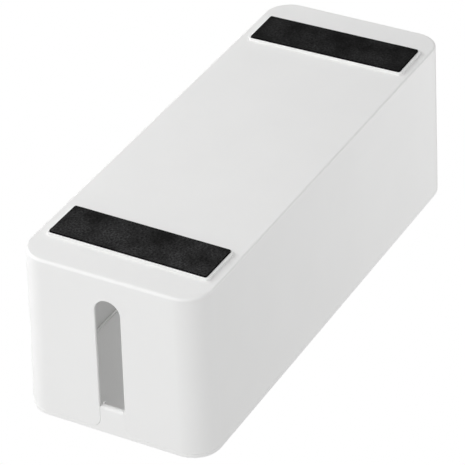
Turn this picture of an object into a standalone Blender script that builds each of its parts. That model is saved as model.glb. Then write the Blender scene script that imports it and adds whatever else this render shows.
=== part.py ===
"""Cable tidy box: an open tub with a cable slot in each end, a lift-off lid, and two foam foot pads.

Metres, +Z up, in the position of use: the foot pads stand on z = 0 and the lid is on top.
X runs along the box and Y across it. The origin is the centre of the footprint.
"""

import math

import bmesh
import bpy
from mathutils import Matrix, Vector

# Outside of the closed box, measured at the lid's top face
LENGTH = 0.400
WIDTH = 0.150
TOP_Z = 0.1363
END_DRAFT = math.radians(1.05)  # both end walls lean in towards the base
SIDE_DRAFT = math.radians(1.2)  # both long walls lean in towards the base
CORNER_RADIUS = 0.0213  # the four upright corners
BASE_EDGE_RADIUS = 0.0019
LID_EDGE_RADIUS = 0.0012
WALL = 0.0026

# Feet, from the ground up: pad, adhesive film, raised plinth of the tub
PAD_LENGTH = 0.125  # along Y
PAD_WIDTH = 0.0355  # along X
PAD_THICKNESS = 0.0017
PAD_CENTRE_X = 0.1498
PAD_CORNER_RADIUS = 0.0014
FILM_THICKNESS = 0.0002
FILM_INSET = 0.0005
SEAT_GAP = 0.00015  # between pad, film and plinth
PLINTH_HEIGHT = 0.0011
PLINTH_RIM = 0.0025  # the plinth shows this much around its pad
PLINTH_EDGE_RADIUS = 0.0004
PLINTH_Z = PAD_THICKNESS + FILM_THICKNESS + 2 * SEAT_GAP
BASE_Z = PLINTH_Z + PLINTH_HEIGHT

# Lid: a plate with a rim flush with the walls, a locating lip inside them, and a tab at each end
LID_RIM_HEIGHT = 0.0037
LID_PLATE = 0.0026
SEAM_GAP = 0.0003
LIP_CLEARANCE = 0.0004
LIP_THICKNESS = 0.0014
LIP_DEPTH = 0.0010
LID_Z = TOP_Z - LID_RIM_HEIGHT
RIM_Z = LID_Z - SEAM_GAP  # the tub's top edge

# Cable slot, centred in each end wall and open at the tub's top edge
SLOT_HALF_WIDTH = 0.0101
SLOT_ROUND_Z = 0.0325  # centre of the slot's half-round bottom
MOUTH_RADIUS = 0.008  # the two wall corners at the slot's mouth
MOUTH_ARC = math.radians(80)

# Tab of the lid, which closes the slot's mouth down to the part that cables use
TAB_CLEARANCE = 0.0004
TAB_Z = 0.1134  # its free edge
TAB_DEPTH = 0.0042
TAB_CORNER_RADIUS = 0.0012
TAB_HALF_WIDTH = SLOT_HALF_WIDTH - TAB_CLEARANCE
RIB_WIDTH = 0.0012  # upright ribs on the tab's back, one along each flank
RIB_INSET = 0.0003  # from the tab's flank
RIB_REACH = 0.0006  # past the tab's free edge
RIB_DEPTH = 0.0058

OVERLAP = 0.001  # how far joined shapes run into each other
REACH = 0.25  # half length of a bar that goes through both ends

# Steps in the rounded shapes
BOX_CORNER_STEPS = 12
SMALL_CORNER_STEPS = 5
EDGE_STEPS = 3
HALF_ROUND_STEPS = 20
MOUTH_STEPS = 8
TAB_CORNER_STEPS = 4

WHITE = (0.80, 0.80, 0.79, 1)
LID_WHITE = (0.81, 0.81, 0.80, 1)
FOAM_BLACK = (0.015, 0.015, 0.016, 1)
FILM_CLEAR = (0.70, 0.68, 0.62, 1)


def clear_scene():
    for obj in list(bpy.data.objects):
        bpy.data.objects.remove(obj, do_unlink=True)


def new_collection(name):
    collection = bpy.data.collections.new(name)
    bpy.context.scene.collection.children.link(collection)
    return collection


def material(name, colour, roughness):
    made = bpy.data.materials.new(name)
    made.use_nodes = True
    shader = made.node_tree.nodes["Principled BSDF"]
    shader.inputs["Base Color"].default_value = colour
    shader.inputs["Roughness"].default_value = roughness
    shader.inputs["Metallic"].default_value = 0.0
    return made


def object_from(name, mesh_data, collection):
    obj = bpy.data.objects.new(name, mesh_data)
    collection.objects.link(obj)
    return obj


def bevel(bm, edges, radius, steps):
    bmesh.ops.bevel(bm, geom=edges, offset=radius, segments=steps, profile=0.5, affect="EDGES")


def rounded_block(name, half_size, heights, corner, collection, low_edge=0.0, high_edge=0.0):
    """A block with rounded upright corners, and its low and high edges rounded where a radius is given.

    half_size is (x, y), heights is (low, high), and corner is (radius, steps).
    """
    half_x, half_y = half_size
    z_low, z_high = heights
    bm = bmesh.new()
    bmesh.ops.create_cube(bm, size=2.0)
    for v in bm.verts:
        v.co = Vector((v.co.x * half_x, v.co.y * half_y, z_low if v.co.z < 0 else z_high))
    upright = [e for e in bm.edges if abs(e.verts[0].co.z - e.verts[1].co.z) > 1e-6]
    bevel(bm, upright, *corner)
    for z, edge_radius in ((z_low, low_edge), (z_high, high_edge)):
        if edge_radius:
            around = [e for e in bm.edges if all(abs(v.co.z - z) < 1e-6 for v in e.verts)]
            bevel(bm, around, edge_radius, EDGE_STEPS)
    bmesh.ops.recalc_face_normals(bm, faces=bm.faces)
    mesh_data = bpy.data.meshes.new(name)
    bm.to_mesh(mesh_data)
    bm.free()
    return object_from(name, mesh_data, collection)


def lean_in(obj):
    """Gives a block the draft of the walls: each side moves in by the draft times its depth below the lid's top."""
    for v in obj.data.vertices:
        depth = TOP_Z - v.co.z
        v.co.x -= math.copysign(depth * math.tan(END_DRAFT), v.co.x)
        v.co.y -= math.copysign(depth * math.tan(SIDE_DRAFT), v.co.y)


def envelope(name, inset, z_low, z_high, collection, low_edge=0.0, high_edge=0.0):
    """The outside of the box between two heights, moved in by inset on every side."""
    half_size = (LENGTH / 2 - inset, WIDTH / 2 - inset)
    corner = (CORNER_RADIUS - inset, BOX_CORNER_STEPS)
    block = rounded_block(name, half_size, (z_low, z_high), corner, collection, low_edge, high_edge)
    lean_in(block)
    return block


def arc(centre, radius, start, end, steps):
    """Points (y, z) along an arc, with both ends."""
    angles = [start + (end - start) * i / steps for i in range(steps + 1)]
    return [(centre[0] + radius * math.cos(a), centre[1] + radius * math.sin(a)) for a in angles]


def bar(name, outline, collection):
    """A prism along X, through both ends of the box, from an outline of (y, z) points."""
    curve = bpy.data.curves.new(name, "CURVE")
    curve.dimensions = "2D"
    curve.fill_mode = "BOTH"
    curve.extrude = REACH
    spline = curve.splines.new("POLY")
    spline.points.add(len(outline) - 1)
    for point, (y, z) in zip(spline.points, outline):
        point.co = (y, z, 0, 1)
    spline.use_cyclic_u = True
    drawn = object_from(name + "_outline", curve, collection)
    # The curve's own x, y and z become the box's Y, Z and X.
    drawn.matrix_world = Matrix(((0, 0, 1, 0), (1, 0, 0, 0), (0, 1, 0, 0), (0, 0, 0, 1)))
    bpy.context.view_layer.update()
    graph = bpy.context.evaluated_depsgraph_get()
    solid = bpy.data.meshes.new_from_object(drawn.evaluated_get(graph))
    bm = bmesh.new()
    bm.from_mesh(solid)
    bmesh.ops.remove_doubles(bm, verts=bm.verts, dist=1e-6)
    bmesh.ops.recalc_face_normals(bm, faces=bm.faces)
    bm.to_mesh(solid)
    bm.free()
    obj = object_from(name, solid, collection)
    obj.matrix_world = drawn.matrix_world
    bpy.data.objects.remove(drawn)
    return obj


def boolean(obj, operation, other):
    modifier = obj.modifiers.new(operation.lower() + "_" + other.name, "BOOLEAN")
    modifier.operation = operation
    modifier.solver = "EXACT"
    modifier.object = other


def flank(clearance):
    """The right half of the slot's outline near its mouth, from low to high, moved towards the slot's middle."""
    centre = (SLOT_HALF_WIDTH + MOUTH_RADIUS, RIM_Z - MOUTH_RADIUS)
    return arc(centre, MOUTH_RADIUS + clearance, math.pi, math.pi - MOUTH_ARC, MOUTH_STEPS)


def mirrored(points):
    return [(-y, z) for y, z in reversed(points)]


def slot_outline():
    upper = flank(0.0)
    upper.append((upper[-1][0], RIM_Z + 2 * OVERLAP))
    half_round = arc((0, SLOT_ROUND_Z), SLOT_HALF_WIDTH, math.pi, 2 * math.pi, HALF_ROUND_STEPS)
    return half_round + upper + mirrored(upper)


def lid_outline():
    """The lid seen along X: a plate wider than the box, with the tab below its middle."""
    edge = WIDTH / 2 + OVERLAP
    centre = (TAB_HALF_WIDTH - TAB_CORNER_RADIUS, TAB_Z + TAB_CORNER_RADIUS)
    lower = arc(centre, TAB_CORNER_RADIUS, 1.5 * math.pi, 2 * math.pi, TAB_CORNER_STEPS)
    upper = [point for point in flank(TAB_CLEARANCE) if point[1] < LID_Z]
    meeting = (SLOT_HALF_WIDTH + MOUTH_RADIUS, LID_Z)
    right = lower + upper + [meeting, (edge, LID_Z), (edge, TOP_Z + OVERLAP)]
    return right + mirrored(right)


def rib_outline(side):
    outer = TAB_HALF_WIDTH - RIB_INSET
    inner = outer - RIB_WIDTH
    low = TAB_Z - RIB_REACH
    high = TOP_Z - LID_PLATE / 2
    return [(side * y, z) for y, z in ((inner, low), (outer, low), (outer, high), (inner, high))]


def ribs(name, side, cutters):
    """One rib at each end of the box, on the same flank of both tabs."""
    pieces = bar(name, rib_outline(side), cutters)
    outside = envelope(name + "_outside", TAB_DEPTH - OVERLAP / 2, BASE_Z, TOP_Z, cutters)
    boolean(pieces, "INTERSECT", outside)
    boolean(pieces, "DIFFERENCE", envelope(name + "_inside", RIB_DEPTH, 0.0, TOP_Z + OVERLAP, cutters))
    return pieces


def make_tub(parts, cutters):
    tub = envelope("box_body", 0.0, BASE_Z, RIM_Z, parts, low_edge=BASE_EDGE_RADIUS)
    cavity = envelope(
        "cavity", WALL, BASE_Z + WALL, RIM_Z + 2 * OVERLAP, cutters, low_edge=BASE_EDGE_RADIUS / 2
    )
    boolean(tub, "DIFFERENCE", cavity)
    boolean(tub, "DIFFERENCE", bar("slot", slot_outline(), cutters))
    for side, sign in (("left", -1), ("right", 1)):
        plinth = rounded_block(
            side + "_plinth",
            (PAD_WIDTH / 2 + PLINTH_RIM, PAD_LENGTH / 2 + PLINTH_RIM),
            (PLINTH_Z, BASE_Z + OVERLAP),
            (PAD_CORNER_RADIUS + PLINTH_RIM, SMALL_CORNER_STEPS),
            cutters,
            low_edge=PLINTH_EDGE_RADIUS,
        )
        plinth.location.x = sign * PAD_CENTRE_X
        boolean(tub, "UNION", plinth)
    return tub


def make_lid(parts, cutters):
    lid = envelope("lid", 0.0, BASE_Z, TOP_Z, parts, high_edge=LID_EDGE_RADIUS)
    boolean(lid, "INTERSECT", bar("lid_profile", lid_outline(), cutters))
    between_tabs = envelope("between_tabs", TAB_DEPTH, 0.0, LID_Z - LIP_DEPTH / 2, cutters)
    boolean(lid, "DIFFERENCE", between_tabs)
    lip_inset = WALL + LIP_CLEARANCE
    lip = envelope("lip", lip_inset, LID_Z - LIP_DEPTH, LID_Z + OVERLAP / 2, cutters)
    boolean(lid, "UNION", lip)
    hollow = envelope(
        "lid_hollow", lip_inset + LIP_THICKNESS, LID_Z - LIP_DEPTH - OVERLAP, TOP_Z - LID_PLATE, cutters
    )
    boolean(lid, "DIFFERENCE", hollow)
    for side, sign in (("left", -1), ("right", 1)):
        boolean(lid, "UNION", ribs(side + "_ribs", sign, cutters))
    return lid


def make_layer(name, z_low, thickness, inset, sign, parts):
    """One flat layer of a foot: the foam pad or the adhesive film above it."""
    layer = rounded_block(
        name,
        (PAD_WIDTH / 2 - inset, PAD_LENGTH / 2 - inset),
        (z_low, z_low + thickness),
        (PAD_CORNER_RADIUS - inset, SMALL_CORNER_STEPS),
        parts,
    )
    layer.location.x = sign * PAD_CENTRE_X
    return layer


def main():
    clear_scene()
    parts = new_collection("cable_tidy_box")
    cutters = new_collection("cutters")
    tub = make_tub(parts, cutters)
    tub.data.materials.append(material("tub_plastic", WHITE, 0.45))
    lid = make_lid(parts, cutters)
    lid.data.materials.append(material("lid_plastic", LID_WHITE, 0.45))
    foam = material("pad_foam", FOAM_BLACK, 0.95)
    film = material("pad_adhesive", FILM_CLEAR, 0.4)
    for side, sign in (("left", -1), ("right", 1)):
        pad = make_layer(side + "_foot_pad", 0.0, PAD_THICKNESS, 0.0, sign, parts)
        pad.data.materials.append(foam)
        adhesive = make_layer(
            side + "_pad_adhesive", PAD_THICKNESS + SEAT_GAP, FILM_THICKNESS, FILM_INSET, sign, parts
        )
        adhesive.data.materials.append(film)
    for helper in cutters.objects:
        helper.hide_render = True
        helper.display_type = "WIRE"
    for obj in parts.objects:
        obj.data.shade_smooth()
        obj.data.set_sharp_from_angle(angle=math.radians(30))


main()
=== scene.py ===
import math

import bmesh
import bpy
import numpy as np
from mathutils import Matrix, Quaternion, Vector
from mathutils.noise import noise


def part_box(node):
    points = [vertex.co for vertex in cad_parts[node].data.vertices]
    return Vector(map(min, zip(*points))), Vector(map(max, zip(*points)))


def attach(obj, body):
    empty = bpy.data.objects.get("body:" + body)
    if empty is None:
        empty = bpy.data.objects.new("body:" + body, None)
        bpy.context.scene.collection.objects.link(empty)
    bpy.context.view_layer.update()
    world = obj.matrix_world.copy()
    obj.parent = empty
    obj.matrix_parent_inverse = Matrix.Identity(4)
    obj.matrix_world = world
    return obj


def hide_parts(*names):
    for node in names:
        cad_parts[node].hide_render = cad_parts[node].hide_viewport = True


# The looks of a cable tidy box: a white plastic tub and lid, and two black foam foot pads.
# Metres, +Z up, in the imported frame. The camera looks up at the box's feet, and is rolled half a turn.

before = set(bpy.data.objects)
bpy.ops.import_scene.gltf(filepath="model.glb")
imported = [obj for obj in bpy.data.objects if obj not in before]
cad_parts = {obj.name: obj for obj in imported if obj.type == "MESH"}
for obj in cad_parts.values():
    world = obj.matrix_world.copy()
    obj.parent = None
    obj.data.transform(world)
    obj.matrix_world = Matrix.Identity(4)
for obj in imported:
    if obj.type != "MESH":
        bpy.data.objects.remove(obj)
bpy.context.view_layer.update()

# The moulded shape, at the sizes that the CAD parts are made to
END_DRAFT = math.radians(1.05)  # both end walls lean in towards the base
SIDE_DRAFT = math.radians(1.2)  # both long walls lean in towards the base
CORNER_RADIUS = 0.0213
BASE_END_RADIUS = 0.00245  # where the ends meet the base
BASE_SIDE_RADIUS = 0.00150  # where the long sides meet the base
LID_EDGE_RADIUS = 0.0012
WALL = 0.0026
PLINTH_HEIGHT = 0.0011
PLINTH_RIM = (0.0012, 0.0020)  # what shows of a plinth round its pad, along X and along Y
PLINTH_OFF = -0.0004  # the pad sits nearer the plinth's +Y end
PLINTH_RIM_HEIGHT = 0.0010  # the rim stands this much proud of the seat under the pad
PLINTH_GAP = 0.00015  # between the rim and the pad
SEAM_GAP = 0.0003  # between the CAD's tub and lid
SEAM_SHOWN = 0.00006  # what shows of it when the lid rests on the tub
LID_PLATE = 0.0026
LIP_INSET = 0.0030
LIP_THICKNESS = 0.0014
LIP_DEPTH = 0.0010
SLOT_HALF_WIDTH = 0.0101
SLOT_ROUND_Z = 0.0325
MOUTH_RADIUS = 0.008
TAB_CLEARANCE = 0.00016  # on the +Y side of a tab, where its outline shows
TAB_SNUG = 0.00001  # on the -Y side, where the tab rests against the tub
TAB_DEPTH = 0.0042
TAB_CORNER_RADIUS = 0.0012
RIB_WIDTH = 0.0012
RIB_INSET = 0.0003
RIB_REACH = 0.0006
RIB_DEPTH = 0.0058
PAD_CORNER_RADIUS = 0.0014

# What the CAD boxes give
tub_low, tub_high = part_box("box_body")
lid_low, lid_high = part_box("lid")
TOP_Z = lid_high.z
LID_Z = tub_high.z + SEAM_GAP
RIM_Z = LID_Z - SEAM_SHOWN
TAB_Z = lid_low.z + RIB_REACH
PLINTH_Z = tub_low.z
BASE_Z = PLINTH_Z + PLINTH_HEIGHT
HALF_LENGTH = lid_high.x + LID_EDGE_RADIUS * math.tan(END_DRAFT)
HALF_WIDTH = lid_high.y + LID_EDGE_RADIUS * math.tan(SIDE_DRAFT)
TAB_HALF_WIDTH = SLOT_HALF_WIDTH - TAB_CLEARANCE

# Fine edges, which the CAD parts leave sharp
RIM_EDGE = 0.00012
LID_RIM_EDGE = 0.0004
SLOT_EDGE = 0.0008
FITTED_EDGE = 0.00012  # where the tab fills the slot
FITTED_RUN = 0.0030  # how far below the tab the slot's edge starts to get finer
TAB_FREE_EDGE = 0.0026
TAB_EDGE_RUN = (0.6, 0.7)  # shares of the free edge's half: where its points begin, and where it gets finer
TAB_CORNER_EDGE = 0.95 * TAB_CORNER_RADIUS
TAB_FLANK_EDGE = 0.0003
TAB_INNER_EDGE = 0.0009
INNER_EDGE = 0.0003
RIB_EDGE = 0.0002
FLOOR_FILLET = 0.0014
PLINTH_EDGE = 0.0005
PLINTH_RAMP = (0.0010, 0.0002)  # how far the foot of a plinth sweeps out, and how high

# How each pad really sits with its plinth: moved in X and Y, turned, and longer at each end
SETTLED = {
    "left_foot_pad": (0.0003, -0.0008, math.radians(-0.65), 0.0006),
    "right_foot_pad": (0.0009, -0.0002, math.radians(0.60), 0.0),
}

CORNER_STEPS = 24
EDGE_STEPS = 6
FINE_EDGE_STEPS = 3
SLOT_STEPS = 20  # in each half of the slot's round bottom
MOUTH_STEPS = 16
FITTED_POINTS = 6
FREE_EDGE_POINTS = 7
SMOOTH_BELOW = math.radians(35.0)
PAD_SMOOTH_BELOW = math.radians(50.0)
CORNERS = ((1, 1, 0.0), (-1, 1, 90.0), (-1, -1, 180.0), (1, -1, 270.0))


# ---------------------------------------------------------------- shapes


def quarter_turns(start, count=EDGE_STEPS):
    """Angles over a quarter circle from start, in radians, with both ends."""
    return [start + 0.5 * math.pi * i / count for i in range(count + 1)]


def half_sizes(z):
    """Half length and half width of the box's outside at a height, with its draft."""
    depth = TOP_Z - z
    return HALF_LENGTH - depth * math.tan(END_DRAFT), HALF_WIDTH - depth * math.tan(SIDE_DRAFT)


def corner_point(corner, step, z, inset):
    side_x, side_y, start = corner
    half_x, half_y = half_sizes(z)
    angle = math.radians(start + 90.0 * step / CORNER_STEPS)
    radius = CORNER_RADIUS - inset
    return (
        side_x * (half_x - CORNER_RADIUS) + radius * math.cos(angle),
        side_y * (half_y - CORNER_RADIUS) + radius * math.sin(angle),
        z,
    )


def plain_ring(bm, z, inset=0.0):
    """Vertices once around the box: four corners, from the +X end's +Y side, with straight runs between."""
    return [
        bm.verts.new(corner_point(corner, step, z, inset))
        for corner in CORNERS
        for step in range(CORNER_STEPS + 1)
    ]


def base_ring(bm, angle):
    """Vertices around the rounded edge of the base, which is wider at the ends than along the sides."""
    verts = []
    for corner in CORNERS:
        for step in range(CORNER_STEPS + 1):
            turn = math.radians(corner[2] + 90.0 * step / CORNER_STEPS)
            end_share = math.cos(turn) ** 2
            radius = BASE_SIDE_RADIUS + (BASE_END_RADIUS - BASE_SIDE_RADIUS) * end_share
            z = BASE_Z + radius * (1 - math.sin(angle))
            verts.append(bm.verts.new(corner_point(corner, step, z, radius * (1 - math.cos(angle)))))
    return verts


def edge_ring(bm, edge, outline, angle, depth=None, most=1.0):
    """Vertices along the free edge of the tub or the lid, which dips into or out of both end walls.

    edge is (z, facing, radius): the edge's height, whether it faces up or down, and its rounding.
    outline holds (y, z, out_y, out_z, radius) from -Y to +Y: a point in the end wall, the way out of the
    wall, and the rounding there.
    angle goes round the edge: 0 is on the wall's face, a right angle is on the edge's own flat.
    With a depth, the ring is on the inner side of a wall of that thickness, and most limits its rounding.
    """
    edge_z, facing, edge_radius = edge

    def place(radius):
        radius = min(radius, most)
        across = radius * (1 - math.cos(angle))
        return (across if depth is None else depth - across), radius * (1 - math.sin(angle))

    verts = []
    for number, corner in enumerate(CORNERS):
        inset, drop = place(edge_radius)
        for step in range(CORNER_STEPS + 1):
            verts.append(bm.verts.new(corner_point(corner, step, edge_z - facing * drop, inset)))
        if number not in (1, 3):
            continue
        side = -1 if number == 1 else 1
        for y, z, out_y, out_z, radius in outline[::side]:
            inset, drop = place(radius)
            low = z - drop * out_z
            verts.append(bm.verts.new((side * (half_sizes(low)[0] - inset), y - drop * out_y, low)))
    return verts


def strip(bm, first, second):
    """Quads between two closed rings of the same length."""
    count = len(first)
    for i in range(count):
        j = (i + 1) % count
        bm.faces.new((first[i], first[j], second[j], second[i]))


def wall_faces(bm, plain, edge, outline_count):
    """The walls between a plain ring and an edge ring: quads, and one many-sided face for each end."""
    half = 2 * (CORNER_STEPS + 1)
    shifted = [edge[i if i < half else i + outline_count] for i in range(2 * half)]
    for i in range(2 * half):
        j = (i + 1) % (2 * half)
        if i == half - 1:
            along = edge[half + outline_count - 1 : half - 1 : -1]
        elif i == 2 * half - 1:
            along = edge[: half + outline_count + half - 1 : -1]
        else:
            along = []
        bm.faces.new([plain[i], plain[j], shifted[j], *along, shifted[i]])


def arc_points(centre, radius, start, end, steps):
    """(y, z, out_y, out_z) along an arc, with the way out from its centre."""
    points = []
    for i in range(steps + 1):
        angle = start + (end - start) * i / steps
        out = (math.cos(angle), math.sin(angle))
        points.append((centre[0] + radius * out[0], centre[1] + radius * out[1], *out))
    return points


def both_sides(half, middle, other=None):
    """The outline from -Y to +Y: the mirror image of one half, the point in the middle, and the +Y half."""
    other = half if other is None else other
    mirrored = [(-y, z, -out_y, out_z, radius) for y, z, out_y, out_z, radius in reversed(other)]
    return [*mirrored, middle, *half]


def blend_radius(at, first_radius, last_radius, first, last):
    """A rounding that changes smoothly from one radius to another between two places."""
    share = min(max((at - first) / (last - first), 0.0), 1.0)
    share = share * share * (3 - 2 * share)
    return first_radius + (last_radius - first_radius) * share


def mouth(clearance):
    """The mouth's rounded corner on the +Y side, from its foot up to the rim."""
    centre = (SLOT_HALF_WIDTH + MOUTH_RADIUS, RIM_Z - MOUTH_RADIUS)
    return arc_points(centre, MOUTH_RADIUS + clearance, math.pi, 0.5 * math.pi, MOUTH_STEPS)


def slot_outline():
    """The slot in an end wall of the tub: rim, mouth, flank and round bottom, and up again."""
    bottom = arc_points((0, SLOT_ROUND_Z), SLOT_HALF_WIDTH, -0.5 * math.pi, 0.0, SLOT_STEPS)
    half = [(y, z, -out_y, -out_z, SLOT_EDGE) for y, z, out_y, out_z in bottom]
    for z in np.linspace(TAB_Z - FITTED_RUN, TAB_Z, FITTED_POINTS):
        radius = blend_radius(z, SLOT_EDGE, FITTED_EDGE, TAB_Z - FITTED_RUN, TAB_Z)
        half.append((SLOT_HALF_WIDTH, float(z), -1.0, 0.0, radius))
    half += [(y, z, out_y, out_z, FITTED_EDGE) for y, z, out_y, out_z in mouth(0.0)]
    return both_sides(half[1:], half[0])


def tab_half(clearance, flank_edge):
    """One side of a tab: half of its free edge, its corner and its flank, up to the rim."""
    centre = (SLOT_HALF_WIDTH - clearance - TAB_CORNER_RADIUS, TAB_Z + TAB_CORNER_RADIUS)
    half = []
    first, finer = TAB_EDGE_RUN
    for y in np.linspace(first, 1.0, FREE_EDGE_POINTS, endpoint=False) * centre[0]:
        radius = blend_radius(y, TAB_FREE_EDGE, TAB_CORNER_RADIUS, finer * centre[0], centre[0])
        half.append((float(y), TAB_Z, 0.0, -1.0, radius))
    for y, z, out_y, out_z in arc_points(centre, TAB_CORNER_RADIUS, -0.5 * math.pi, 0.0, EDGE_STEPS):
        radius = blend_radius(z, TAB_CORNER_EDGE, flank_edge, TAB_Z, centre[1])
        half.append((y, z, out_y, out_z, radius))
    for y, z, out_y, out_z in mouth(clearance):
        if z < LID_Z:
            radius = blend_radius(z, flank_edge, LID_RIM_EDGE, RIM_Z - MOUTH_RADIUS, LID_Z)
            half.append((y, z, -out_y, -out_z, radius))
    half.append((SLOT_HALF_WIDTH + MOUTH_RADIUS, LID_Z, 0.0, -1.0, LID_RIM_EDGE))
    return half


def tab_outline():
    """The tab at an end of the lid: rim, mouth, flank and free edge, and up again."""
    middle = (0.0, TAB_Z, 0.0, -1.0, TAB_FREE_EDGE)
    return both_sides(tab_half(TAB_CLEARANCE, TAB_FLANK_EDGE), middle, tab_half(TAB_SNUG, FITTED_EDGE))


def finished(bm, name, smooth_below=SMOOTH_BELOW):
    """An object from closed faces, shaded smooth except across its sharp edges."""
    bmesh.ops.recalc_face_normals(bm, faces=bm.faces)
    bmesh.ops.triangulate(bm, faces=[face for face in bm.faces if len(face.verts) > 4])
    mesh = bpy.data.meshes.new(name)
    bm.to_mesh(mesh)
    bm.free()
    obj = bpy.data.objects.new(name, mesh)
    bpy.context.scene.collection.objects.link(obj)
    mesh.shade_smooth()
    mesh.set_sharp_from_angle(angle=smooth_below)
    return obj


def weigh_normals(obj):
    """Big flat faces keep their own normal up to their rounded edges."""
    modifier = obj.modifiers.new("weighted_normals", "WEIGHTED_NORMAL")
    modifier.mode = "FACE_AREA"
    modifier.weight = 50
    modifier.keep_sharp = True


def apply_modifiers(obj):
    bpy.context.view_layer.update()
    graph = bpy.context.evaluated_depsgraph_get()
    made = bpy.data.meshes.new_from_object(obj.evaluated_get(graph))
    obj.modifiers.clear()
    obj.data = made


def rounded_outline(half_x, half_y, radius):
    """(x, y) once around a rounded rectangle."""
    points = []
    for side_x, side_y, start in CORNERS:
        for angle in quarter_turns(math.radians(start)):
            points.append(
                (
                    side_x * (half_x - radius) + radius * math.cos(angle),
                    side_y * (half_y - radius) + radius * math.sin(angle),
                )
            )
    return points


def outline_ring(bm, centre_x, half_x, half_y, radius, z):
    return [bm.verts.new((centre_x + x, y, z)) for x, y in rounded_outline(half_x, half_y, radius)]


def settle(verts, pad_name):
    """Moves and turns vertices about their pad's centre, to where the pad really sits."""
    low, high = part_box(pad_name)
    centre = Vector(((low.x + high.x) / 2, (low.y + high.y) / 2, 0.0))
    shift_x, shift_y, turn = SETTLED[pad_name][:3]
    move = Matrix.Translation(centre + Vector((shift_x, shift_y, 0.0))) @ Matrix.Rotation(turn, 4, "Z")
    move = move @ Matrix.Translation(-centre)
    for v in verts:
        v.co = move @ v.co


def pad_outline(pad_name):
    """Where a pad's middle is along X, and its half sizes as it shows."""
    low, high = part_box(pad_name)
    longer = SETTLED[pad_name][3]
    return (low.x + high.x) / 2, (high.x - low.x) / 2, (high.y - low.y) / 2 + longer


def plinth_profile():
    """(out, z) down the outside of a plinth, then down the inside of its rim to the seat."""
    rim_z = PLINTH_Z - PLINTH_RIM_HEIGHT
    sweep, rise = PLINTH_RAMP
    outside = []
    for angle in quarter_turns(0.0):
        outside.append((sweep * (1 - math.sin(angle)), BASE_Z - rise * (1 - math.cos(angle))))
    for angle in quarter_turns(0.0):
        inward = PLINTH_EDGE * (1 - math.cos(angle))
        outside.append((-inward, rim_z + PLINTH_EDGE * (1 - math.sin(angle))))
    inside = []
    for angle in reversed(quarter_turns(0.0, FINE_EDGE_STEPS)):
        out = PLINTH_GAP + INNER_EDGE * (1 - math.cos(angle))
        inside.append((out, rim_z + INNER_EDGE * (1 - math.sin(angle))))
    inside.append((PLINTH_GAP, PLINTH_Z))
    return outside, inside


def add_plinth(bm, pad_name):
    """The raised seat of a foot pad, with a rim round the pad. Returns its foot on the base."""
    centre_x, pad_x, pad_y = pad_outline(pad_name)
    rim_x, rim_y = PLINTH_RIM
    outside, inside = plinth_profile()
    rings = []
    for out, z in outside:
        radius = PAD_CORNER_RADIUS + rim_x + out
        ring = outline_ring(bm, centre_x, pad_x + rim_x + out, pad_y + rim_y + out, radius, z)
        bmesh.ops.translate(bm, verts=ring, vec=(0.0, PLINTH_OFF, 0.0))
        rings.append(ring)
    for out, z in inside:
        rings.append(outline_ring(bm, centre_x, pad_x + out, pad_y + out, PAD_CORNER_RADIUS + out, z))
    for first, second in zip(rings, rings[1:]):
        strip(bm, first, second)
    bm.faces.new(rings[-1])
    settle([v for ring in rings for v in ring], pad_name)
    return rings[0]


def ring_edges(bm, ring):
    """The edges between a closed ring's vertices, made where they are missing."""
    return [bm.edges.get((a, b)) or bm.edges.new((a, b)) for a, b in zip(ring, ring[1:] + ring[:1])]


def make_tub():
    bm = bmesh.new()
    outline = slot_outline()
    edge = (RIM_Z, 1, RIM_EDGE)
    base = [base_ring(bm, angle) for angle in quarter_turns(0.0)]
    rim = [edge_ring(bm, edge, outline, angle) for angle in quarter_turns(0.0)]
    rim += [edge_ring(bm, edge, outline, angle, WALL) for angle in reversed(quarter_turns(0.0))]
    floor_z = BASE_Z + WALL
    floor = [
        plain_ring(
            bm, floor_z + FLOOR_FILLET * (1 - math.sin(angle)), WALL + FLOOR_FILLET * (1 - math.cos(angle))
        )
        for angle in quarter_turns(0.0)
    ]
    for rings in (base, rim, floor):
        for first, second in zip(rings, rings[1:]):
            strip(bm, first, second)
    wall_faces(bm, base[0], rim[0], len(outline))
    wall_faces(bm, floor[0], rim[-1], len(outline))
    bm.faces.new(floor[-1])
    around = ring_edges(bm, base[-1])
    for pad_name in ("left_foot_pad", "right_foot_pad"):
        around += ring_edges(bm, add_plinth(bm, pad_name))
    bmesh.ops.triangle_fill(bm, use_beauty=True, use_dissolve=False, edges=around)
    tub = finished(bm, "tub_shell")
    weigh_normals(tub)
    apply_modifiers(tub)
    return tub


def ring_block(bm, z_low, z_high, inset_out, inset_in, edge_radius):
    """A closed band inside the walls, with its lower edges rounded: the lid's lip."""
    rings = [plain_ring(bm, z_high, inset_out)]
    for angle in quarter_turns(0.0, FINE_EDGE_STEPS):
        inward = edge_radius * (1 - math.cos(angle))
        rings.append(plain_ring(bm, z_low + edge_radius * (1 - math.sin(angle)), inset_out + inward))
    for angle in reversed(quarter_turns(0.0, FINE_EDGE_STEPS)):
        inward = edge_radius * (1 - math.cos(angle))
        rings.append(plain_ring(bm, z_low + edge_radius * (1 - math.sin(angle)), inset_in - inward))
    rings.append(plain_ring(bm, z_high, inset_in))
    for first, second in zip(rings, rings[1:] + rings[:1]):
        strip(bm, first, second)


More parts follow.
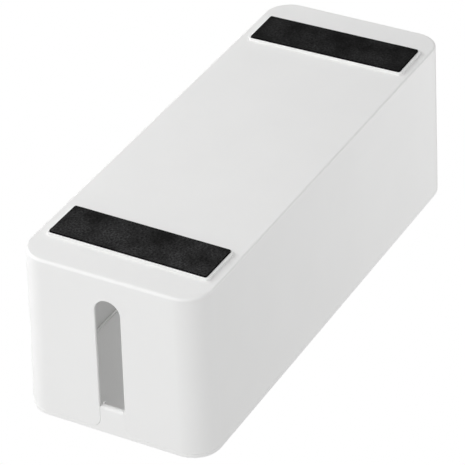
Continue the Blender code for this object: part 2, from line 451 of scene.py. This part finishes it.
def rib(bm, end, side):
    """One upright rib on the back of a tab, with its edges rounded."""
    outer = TAB_HALF_WIDTH - RIB_INSET
    low = TAB_Z - RIB_REACH
    high = TOP_Z - LID_PLATE / 2
    bmesh.ops.create_cube(bm, size=1.0)
    for v in bm.verts:
        z = low if v.co.z < 0 else high
        inset = TAB_DEPTH - INNER_EDGE if v.co.x > 0 else RIB_DEPTH
        y = outer if v.co.y > 0 else outer - RIB_WIDTH
        v.co = (end * (half_sizes(z)[0] - inset), side * y, z)
    bmesh.ops.recalc_face_normals(bm, faces=bm.faces)
    bm.normal_update()
    bmesh.ops.bevel(bm, geom=bm.edges[:], offset=RIB_EDGE, segments=2, profile=0.5, affect="EDGES")


def united(obj, others):
    """Joins closed shapes to obj with Booleans, and removes them."""
    for other in others:
        modifier = obj.modifiers.new("join_" + other.name, "BOOLEAN")
        modifier.operation = "UNION"
        modifier.solver = "EXACT"
        modifier.object = other
    apply_modifiers(obj)
    for other in others:
        bpy.data.objects.remove(other)
    obj.data.shade_smooth()
    obj.data.set_sharp_from_angle(angle=SMOOTH_BELOW)


def make_lid():
    bm = bmesh.new()
    outline = tab_outline()
    edge = (LID_Z, -1, LID_RIM_EDGE)
    top = [
        plain_ring(
            bm, TOP_Z - LID_EDGE_RADIUS * (1 - math.sin(angle)), LID_EDGE_RADIUS * (1 - math.cos(angle))
        )
        for angle in quarter_turns(0.0)
    ]
    rim = [edge_ring(bm, edge, outline, angle) for angle in quarter_turns(0.0)]
    rim += [
        edge_ring(bm, edge, outline, angle, TAB_DEPTH, TAB_INNER_EDGE)
        for angle in reversed(quarter_turns(0.0))
    ]
    for rings in (top, rim):
        for first, second in zip(rings, rings[1:]):
            strip(bm, first, second)
    bm.faces.new(top[-1])
    wall_faces(bm, top[0], rim[0], len(outline))
    ceiling = plain_ring(bm, TOP_Z - LID_PLATE, TAB_DEPTH)
    wall_faces(bm, ceiling, rim[-1], len(outline))
    bm.faces.new(ceiling)
    lid = finished(bm, "lid_shell")

    bm = bmesh.new()
    ring_block(
        bm, LID_Z - LIP_DEPTH, TOP_Z - LID_PLATE / 2, LIP_INSET, LIP_INSET + LIP_THICKNESS, INNER_EDGE
    )
    lip = finished(bm, "lip")
    ribs = []
    for end in (-1, 1):
        for side in (-1, 1):
            bm = bmesh.new()
            rib(bm, end, side)
            ribs.append(finished(bm, f"rib_{end}_{side}"))
    united(lip, ribs)
    united(lid, [lip])
    weigh_normals(lid)
    apply_modifiers(lid)
    return lid


# Foam pads
PAD_LIFT = 0.00012  # how far the foam swells up round the film, towards the plinth
PAD_EDGE = 0.00035
PAD_CELL = 0.0022  # size of the pad's mesh cells
PAD_WAVE = 0.00010  # how much the pad's face rises and falls
PAD_WAVE_SCALE = 90  # how often it does so, to a metre
PAD_RIPPLE = (0.25, 3.1)  # a finer wave on the first: its share, and how much finer


def cut_into_cells(bm, centre_x, half_x, half_y):
    """Cuts a pad across at even steps along X and Y."""
    for axis, start, half in ((0, centre_x, half_x), (1, 0.0, half_y)):
        count = int(2 * half / PAD_CELL)
        for i in range(1, count):
            point = Vector((0, 0, 0))
            point[axis] = start - half + 2 * half * i / count
            normal = Vector((0, 0, 0))
            normal[axis] = 1
            geometry = bm.verts[:] + bm.edges[:] + bm.faces[:]
            bmesh.ops.bisect_plane(bm, geom=geometry, dist=1e-6, plane_co=point, plane_no=normal)


def make_pad(name, cad_node):
    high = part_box(cad_node)[1]
    centre_x, half_x, half_y = pad_outline(cad_node)
    bm = bmesh.new()
    rings = []
    for angle in reversed(quarter_turns(0.0, FINE_EDGE_STEPS)):
        inset = PAD_EDGE * (1 - math.cos(angle))
        z = PAD_EDGE * (1 - math.sin(angle))
        radius = PAD_CORNER_RADIUS - inset
        rings.append(outline_ring(bm, centre_x, half_x - inset, half_y - inset, radius, z))
    rings.append(outline_ring(bm, centre_x, half_x, half_y, PAD_CORNER_RADIUS, high.z + PAD_LIFT))
    for first, second in zip(rings, rings[1:]):
        strip(bm, first, second)
    bm.faces.new(rings[0])
    bm.faces.new(rings[-1])
    cut_into_cells(bm, centre_x, half_x, half_y)
    share, finer = PAD_RIPPLE
    for v in bm.verts:
        if v.co.z < PAD_EDGE:
            place = Vector((v.co.x, v.co.y, 0)) * PAD_WAVE_SCALE
            rise = 0.5 + 0.5 * noise(place) + share * noise(place * finer)
            v.co.z += PAD_WAVE * min(max(rise, 0.0), 1.0)
    settle(bm.verts, cad_node)
    pad = finished(bm, name, PAD_SMOOTH_BELOW)
    weigh_normals(pad)
    apply_modifiers(pad)
    return pad


# ---------------------------------------------------------------- materials


def new_material(name):
    made = bpy.data.materials.new(name)
    made.use_nodes = True
    tree = made.node_tree
    return made, tree, tree.nodes["Principled BSDF"]


def node(tree, kind, inputs=None, **settings):
    made = tree.nodes.new(kind)
    for key, value in settings.items():
        setattr(made, key, value)
    for key, value in (inputs or {}).items():
        if isinstance(value, bpy.types.NodeSocket):
            tree.links.new(value, made.inputs[key])
        else:
            made.inputs[key].default_value = value
    return made


def object_place(tree, scale=(1, 1, 1)):
    place = node(tree, "ShaderNodeTexCoord").outputs["Object"]
    return node(tree, "ShaderNodeMapping", {"Vector": place, "Scale": scale}).outputs["Vector"]


def noise_of(tree, place, scale, detail=2.0, roughness=0.5):
    made = node(
        tree,
        "ShaderNodeTexNoise",
        {"Vector": place, "Scale": scale, "Detail": detail, "Roughness": roughness},
    )
    return made.outputs["Fac"]


def ranged(tree, value, low, high, from_low=0.3, from_high=0.7):
    made = node(
        tree,
        "ShaderNodeMapRange",
        {"Value": value, "From Min": from_low, "From Max": from_high, "To Min": low, "To Max": high},
    )
    return made.outputs["Result"]


def colour_socket(sockets, name):
    """A Mix node has a socket of each name for each kind of data: this is the one for colours."""
    return [socket for socket in sockets if socket.name == name and socket.type == "RGBA"][0]


def mixed(tree, factor, first, second):
    made = node(tree, "ShaderNodeMix", {"Factor": factor}, data_type="RGBA")
    colour_socket(made.inputs, "A").default_value = (*first, 1)
    colour_socket(made.inputs, "B").default_value = (*second, 1)
    return colour_socket(made.outputs, "Result")


def bumped(tree, height, strength, distance, below=None):
    inputs = {"Height": height, "Strength": strength, "Distance": distance}
    if below is not None:
        inputs["Normal"] = below
    return node(tree, "ShaderNodeBump", inputs).outputs["Normal"]


def white_plastic(name, tint, roughness):
    """Satin white moulded plastic: a fine spark-eroded skin, and faint cloudiness from the mould's flow."""
    made, tree, shader = new_material(name)
    place = object_place(tree)
    clouds = noise_of(tree, place, 22.0, 3.0)
    skin = noise_of(tree, place, 2600.0, 2.0, 0.6)
    darker = tuple(c * 0.985 for c in tint)
    colour = mixed(tree, ranged(tree, clouds, 0.0, 1.0), darker, tint)
    tree.links.new(colour, shader.inputs["Base Color"])
    rough = ranged(tree, noise_of(tree, place, 60.0, 4.0), roughness - 0.02, roughness + 0.03)
    tree.links.new(rough, shader.inputs["Roughness"])
    waviness = bumped(tree, noise_of(tree, place, 14.0, 1.0), 0.35, 0.0004)
    tree.links.new(bumped(tree, skin, 0.12, 0.00004, waviness), shader.inputs["Normal"])
    shader.inputs["IOR"].default_value = 1.49
    shader.inputs["Specular IOR Level"].default_value = 0.5
    return made


def painted_side_shade(tree):
    """Painted shade: 1 on the pad's face, and much less on its cut sides, which are painted darker as if in
    shade.
    """
    normal = node(tree, "ShaderNodeTexCoord").outputs["Normal"]
    down = node(tree, "ShaderNodeVectorMath", {0: normal, 1: (0, 0, -1)}, operation="DOT_PRODUCT")
    return ranged(tree, down.outputs["Value"], 0.15, 1.0, 0.5, 0.95)


def black_foam(name):
    """Closed-cell rubber foam: a grainy face with lighter patches, painted sheen that makes the +X pad
    lighter than the -X pad, and painted shade on the pad's cut sides.
    """
    made, tree, shader = new_material(name)
    place = object_place(tree)
    grain = noise_of(tree, place, 620.0, 3.0, 0.7)
    fine = noise_of(tree, place, 1500.0, 3.0, 0.65)
    patches = noise_of(tree, place, 34.0, 4.0, 0.6)
    across = node(tree, "ShaderNodeSeparateXYZ", {"Vector": place}).outputs["X"]
    # Painted sheen: the colour gets lighter towards +X, so the +X pad shows lighter than the -X pad.
    painted_sheen = ranged(tree, across, 0.70, 1.12, -0.14, 0.14)
    base = mixed(tree, ranged(tree, patches, 0.0, 1.0, 0.36, 0.62), (0.0075,) * 3, (0.0265, 0.0265, 0.027))
    # The foam's own grain, the painted sheen on the +X pad and the painted shade on the pad's sides each
    # scale the colour.
    for share in (ranged(tree, grain, 0.0, 2.0), painted_sheen, painted_side_shade(tree)):
        scaled = node(tree, "ShaderNodeVectorMath", {0: base, 1: share}, operation="MULTIPLY")
        base = scaled.outputs["Vector"]
    tree.links.new(base, shader.inputs["Base Color"])
    tree.links.new(ranged(tree, grain, 0.82, 0.98), shader.inputs["Roughness"])
    pits = bumped(tree, grain, 0.6, 0.0003)
    tree.links.new(bumped(tree, fine, 0.5, 0.00015, pits), shader.inputs["Normal"])
    shader.inputs["Specular IOR Level"].default_value = 0.08
    return made


def adhesive_film(name):
    """Thin double-sided tape: an off-white, slightly mottled carrier."""
    made, tree, shader = new_material(name)
    place = object_place(tree)
    mottle = ranged(tree, noise_of(tree, place, 400.0, 3.0), 0.0, 1.0)
    colour = mixed(tree, mottle, (0.58, 0.56, 0.50), (0.70, 0.68, 0.62))
    tree.links.new(colour, shader.inputs["Base Color"])
    tree.links.new(ranged(tree, noise_of(tree, place, 900.0), 0.3, 0.5), shader.inputs["Roughness"])
    tree.links.new(bumped(tree, noise_of(tree, place, 1200.0), 0.3, 0.00005), shader.inputs["Normal"])
    return made


# ---------------------------------------------------------------- stage

FLOOR_RADIUS = 4.0
FLOOR_FADE = (0.10, 0.36)  # the shares of that radius between which the floor fades out


def make_floor():
    """A pale floor that shows from above only, and fades out into the background."""
    bm = bmesh.new()
    bmesh.ops.create_circle(bm, cap_ends=True, segments=96, radius=FLOOR_RADIUS)
    mesh = bpy.data.meshes.new("floor")
    bm.to_mesh(mesh)
    bm.free()
    floor = bpy.data.objects.new("floor", mesh)
    bpy.context.scene.collection.objects.link(floor)
    made, tree, shader = new_material("floor_pale")
    shader.inputs["Roughness"].default_value = 0.8
    place = object_place(tree, (1 / FLOOR_RADIUS,) * 3)
    speckle = noise_of(tree, place, 40.0, 4.0)
    pale = mixed(tree, ranged(tree, speckle, 0.0, 1.0), (0.86, 0.86, 0.86), (0.88, 0.88, 0.88))
    tree.links.new(pale, shader.inputs["Base Color"])
    far = node(tree, "ShaderNodeVectorMath", {0: place}, operation="LENGTH").outputs["Value"]
    fade = ranged(tree, far, 0.0, 1.0, *FLOOR_FADE)
    behind = node(tree, "ShaderNodeNewGeometry").outputs["Backfacing"]
    hidden = node(tree, "ShaderNodeMath", {0: fade, 1: behind}, operation="MAXIMUM").outputs["Value"]
    clear = node(tree, "ShaderNodeBsdfTransparent").outputs["BSDF"]
    mix = node(tree, "ShaderNodeMixShader", {0: hidden, 1: shader.outputs["BSDF"], 2: clear})
    tree.links.new(mix.outputs["Shader"], tree.nodes["Material Output"].inputs["Surface"])
    mesh.materials.append(made)
    for kind in ("diffuse", "glossy", "transmission", "volume_scatter", "shadow"):
        setattr(floor, "visible_" + kind, False)


WORLD_LEVEL = 0.4713
WORLD_SLOPE = (0.3034, -0.1679, 0.0)  # how much brighter the surroundings are towards +X, +Y and +Z


def make_world():
    """Even, nearly white surroundings with a gentle slope. The camera itself sees plain white."""
    world = bpy.data.worlds.new("studio")
    world.use_nodes = True
    bpy.context.scene.world = world
    tree = world.node_tree
    tree.nodes.clear()
    direction = node(tree, "ShaderNodeTexCoord").outputs["Generated"]
    slope = node(
        tree, "ShaderNodeVectorMath", {0: direction, 1: WORLD_SLOPE}, operation="DOT_PRODUCT"
    ).outputs["Value"]
    level = node(tree, "ShaderNodeMath", {0: slope, 1: WORLD_LEVEL}, operation="ADD").outputs["Value"]
    light = node(tree, "ShaderNodeBackground", {"Strength": level})
    white = node(tree, "ShaderNodeBackground", {"Color": (1, 1, 1, 1), "Strength": 1.0})
    seen = node(tree, "ShaderNodeLightPath").outputs["Is Camera Ray"]
    mix = node(
        tree,
        "ShaderNodeMixShader",
        {0: seen, 1: light.outputs["Background"], 2: white.outputs["Background"]},
    )
    out = node(tree, "ShaderNodeOutputWorld")
    tree.links.new(mix.outputs["Shader"], out.inputs["Surface"])


SOFTBOX_DISTANCE = 1.6
SOFTBOX_SIZE = 0.9
# name: (direction from the box, watts)
SOFTBOXES = {
    "left": ((0.0, 1.0, -0.1), 13.8),
    "below_left": ((0.3, 0.7, -0.65), 9.6),
    "base_far": ((-0.72, 0.4, -0.56), 2.1),
    "far_side": ((-0.72, -0.67, 0.17), 9.9),
    "side_near": ((0.7, -0.7, 0.0), 1.2),
    "end": ((0.95, -0.1, -0.1), 3.5),
    "end_left": ((0.72, 0.4, 0.56), 1.9),
    "key": ((0.7, 0.05, -0.7), 2.0),
    "below": ((0.1, -0.1, -1.0), 3.6),
    "above": ((0.0, 0.0, 1.0), 10.0),
}


def facing(place, aim, roll=0.0):
    """A matrix at place that looks towards aim, rolled about that line."""
    turn = (Vector(aim) - Vector(place)).to_track_quat("-Z", "Y")
    turn = turn @ Quaternion((0, 0, 1), roll)
    return Matrix.Translation(place) @ turn.to_matrix().to_4x4()


def make_softboxes():
    middle = Vector((0.0, 0.0, TOP_Z / 2))
    for name, (direction, watts) in SOFTBOXES.items():
        light = bpy.data.lights.new(name, "AREA")
        light.shape = "SQUARE"
        light.size = SOFTBOX_SIZE
        light.energy = watts
        obj = bpy.data.objects.new(name, light)
        bpy.context.scene.collection.objects.link(obj)
        obj.matrix_world = facing(middle + Vector(direction).normalized() * SOFTBOX_DISTANCE, middle)
        obj.visible_camera = False


INSIDE_WATTS = 0.072
INSIDE_MARGIN = (0.05, 0.04)  # how much shorter and narrower than the box the panel is
INSIDE_ABOVE_FLOOR = 0.003


def make_inside_fill():
    """A faint panel just above the tub's floor, facing up: the light that gets into the closed box."""
    light = bpy.data.lights.new("inside", "AREA")
    light.shape = "RECTANGLE"
    light.size = 2 * HALF_LENGTH - INSIDE_MARGIN[0]
    light.size_y = 2 * HALF_WIDTH - INSIDE_MARGIN[1]
    light.energy = INSIDE_WATTS
    obj = bpy.data.objects.new("inside", light)
    bpy.context.scene.collection.objects.link(obj)
    obj.location.z = BASE_Z + WALL + INSIDE_ABOVE_FLOOR
    obj.rotation_euler.x = math.pi
    obj.visible_camera = False


CAMERA_PLACE = (1.45754, -0.80357, -1.03387)
CAMERA_AIM = (0.0, 0.01045, 0.08842)
CAMERA_ROLL = math.radians(178.103)
CAMERA_LENS = 208.152


def make_camera():
    camera = bpy.data.cameras.new("camera")
    camera.lens = CAMERA_LENS
    camera.sensor_width = 36.0
    camera.clip_start = 0.01
    obj = bpy.data.objects.new("camera", camera)
    bpy.context.scene.collection.objects.link(obj)
    obj.matrix_world = facing(CAMERA_PLACE, CAMERA_AIM, CAMERA_ROLL)
    bpy.context.scene.camera = obj


# ---------------------------------------------------------------- assembly


def main():
    make_camera()
    make_world()
    make_softboxes()
    make_inside_fill()
    make_floor()

    tub = make_tub()
    tub.data.materials.append(white_plastic("white_tub", (0.86, 0.86, 0.855), 0.50))
    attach(tub, "tub")
    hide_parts("box_body")

    lid = make_lid()
    lid.data.materials.append(white_plastic("white_lid", (0.865, 0.865, 0.86), 0.50))
    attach(lid, "lid")
    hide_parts("lid")

    foam = black_foam("black_foam")
    film = adhesive_film("adhesive_film")
    for side in ("left", "right"):
        pad = make_pad(side + "_foam_pad", side + "_foot_pad")
        pad.data.materials.append(foam)
        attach(pad, "tub")
        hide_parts(side + "_foot_pad")
        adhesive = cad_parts[side + "_pad_adhesive"]
        adhesive.data.materials.clear()
        adhesive.data.materials.append(film)

    bpy.context.scene.view_settings.view_transform = "Standard"


main()
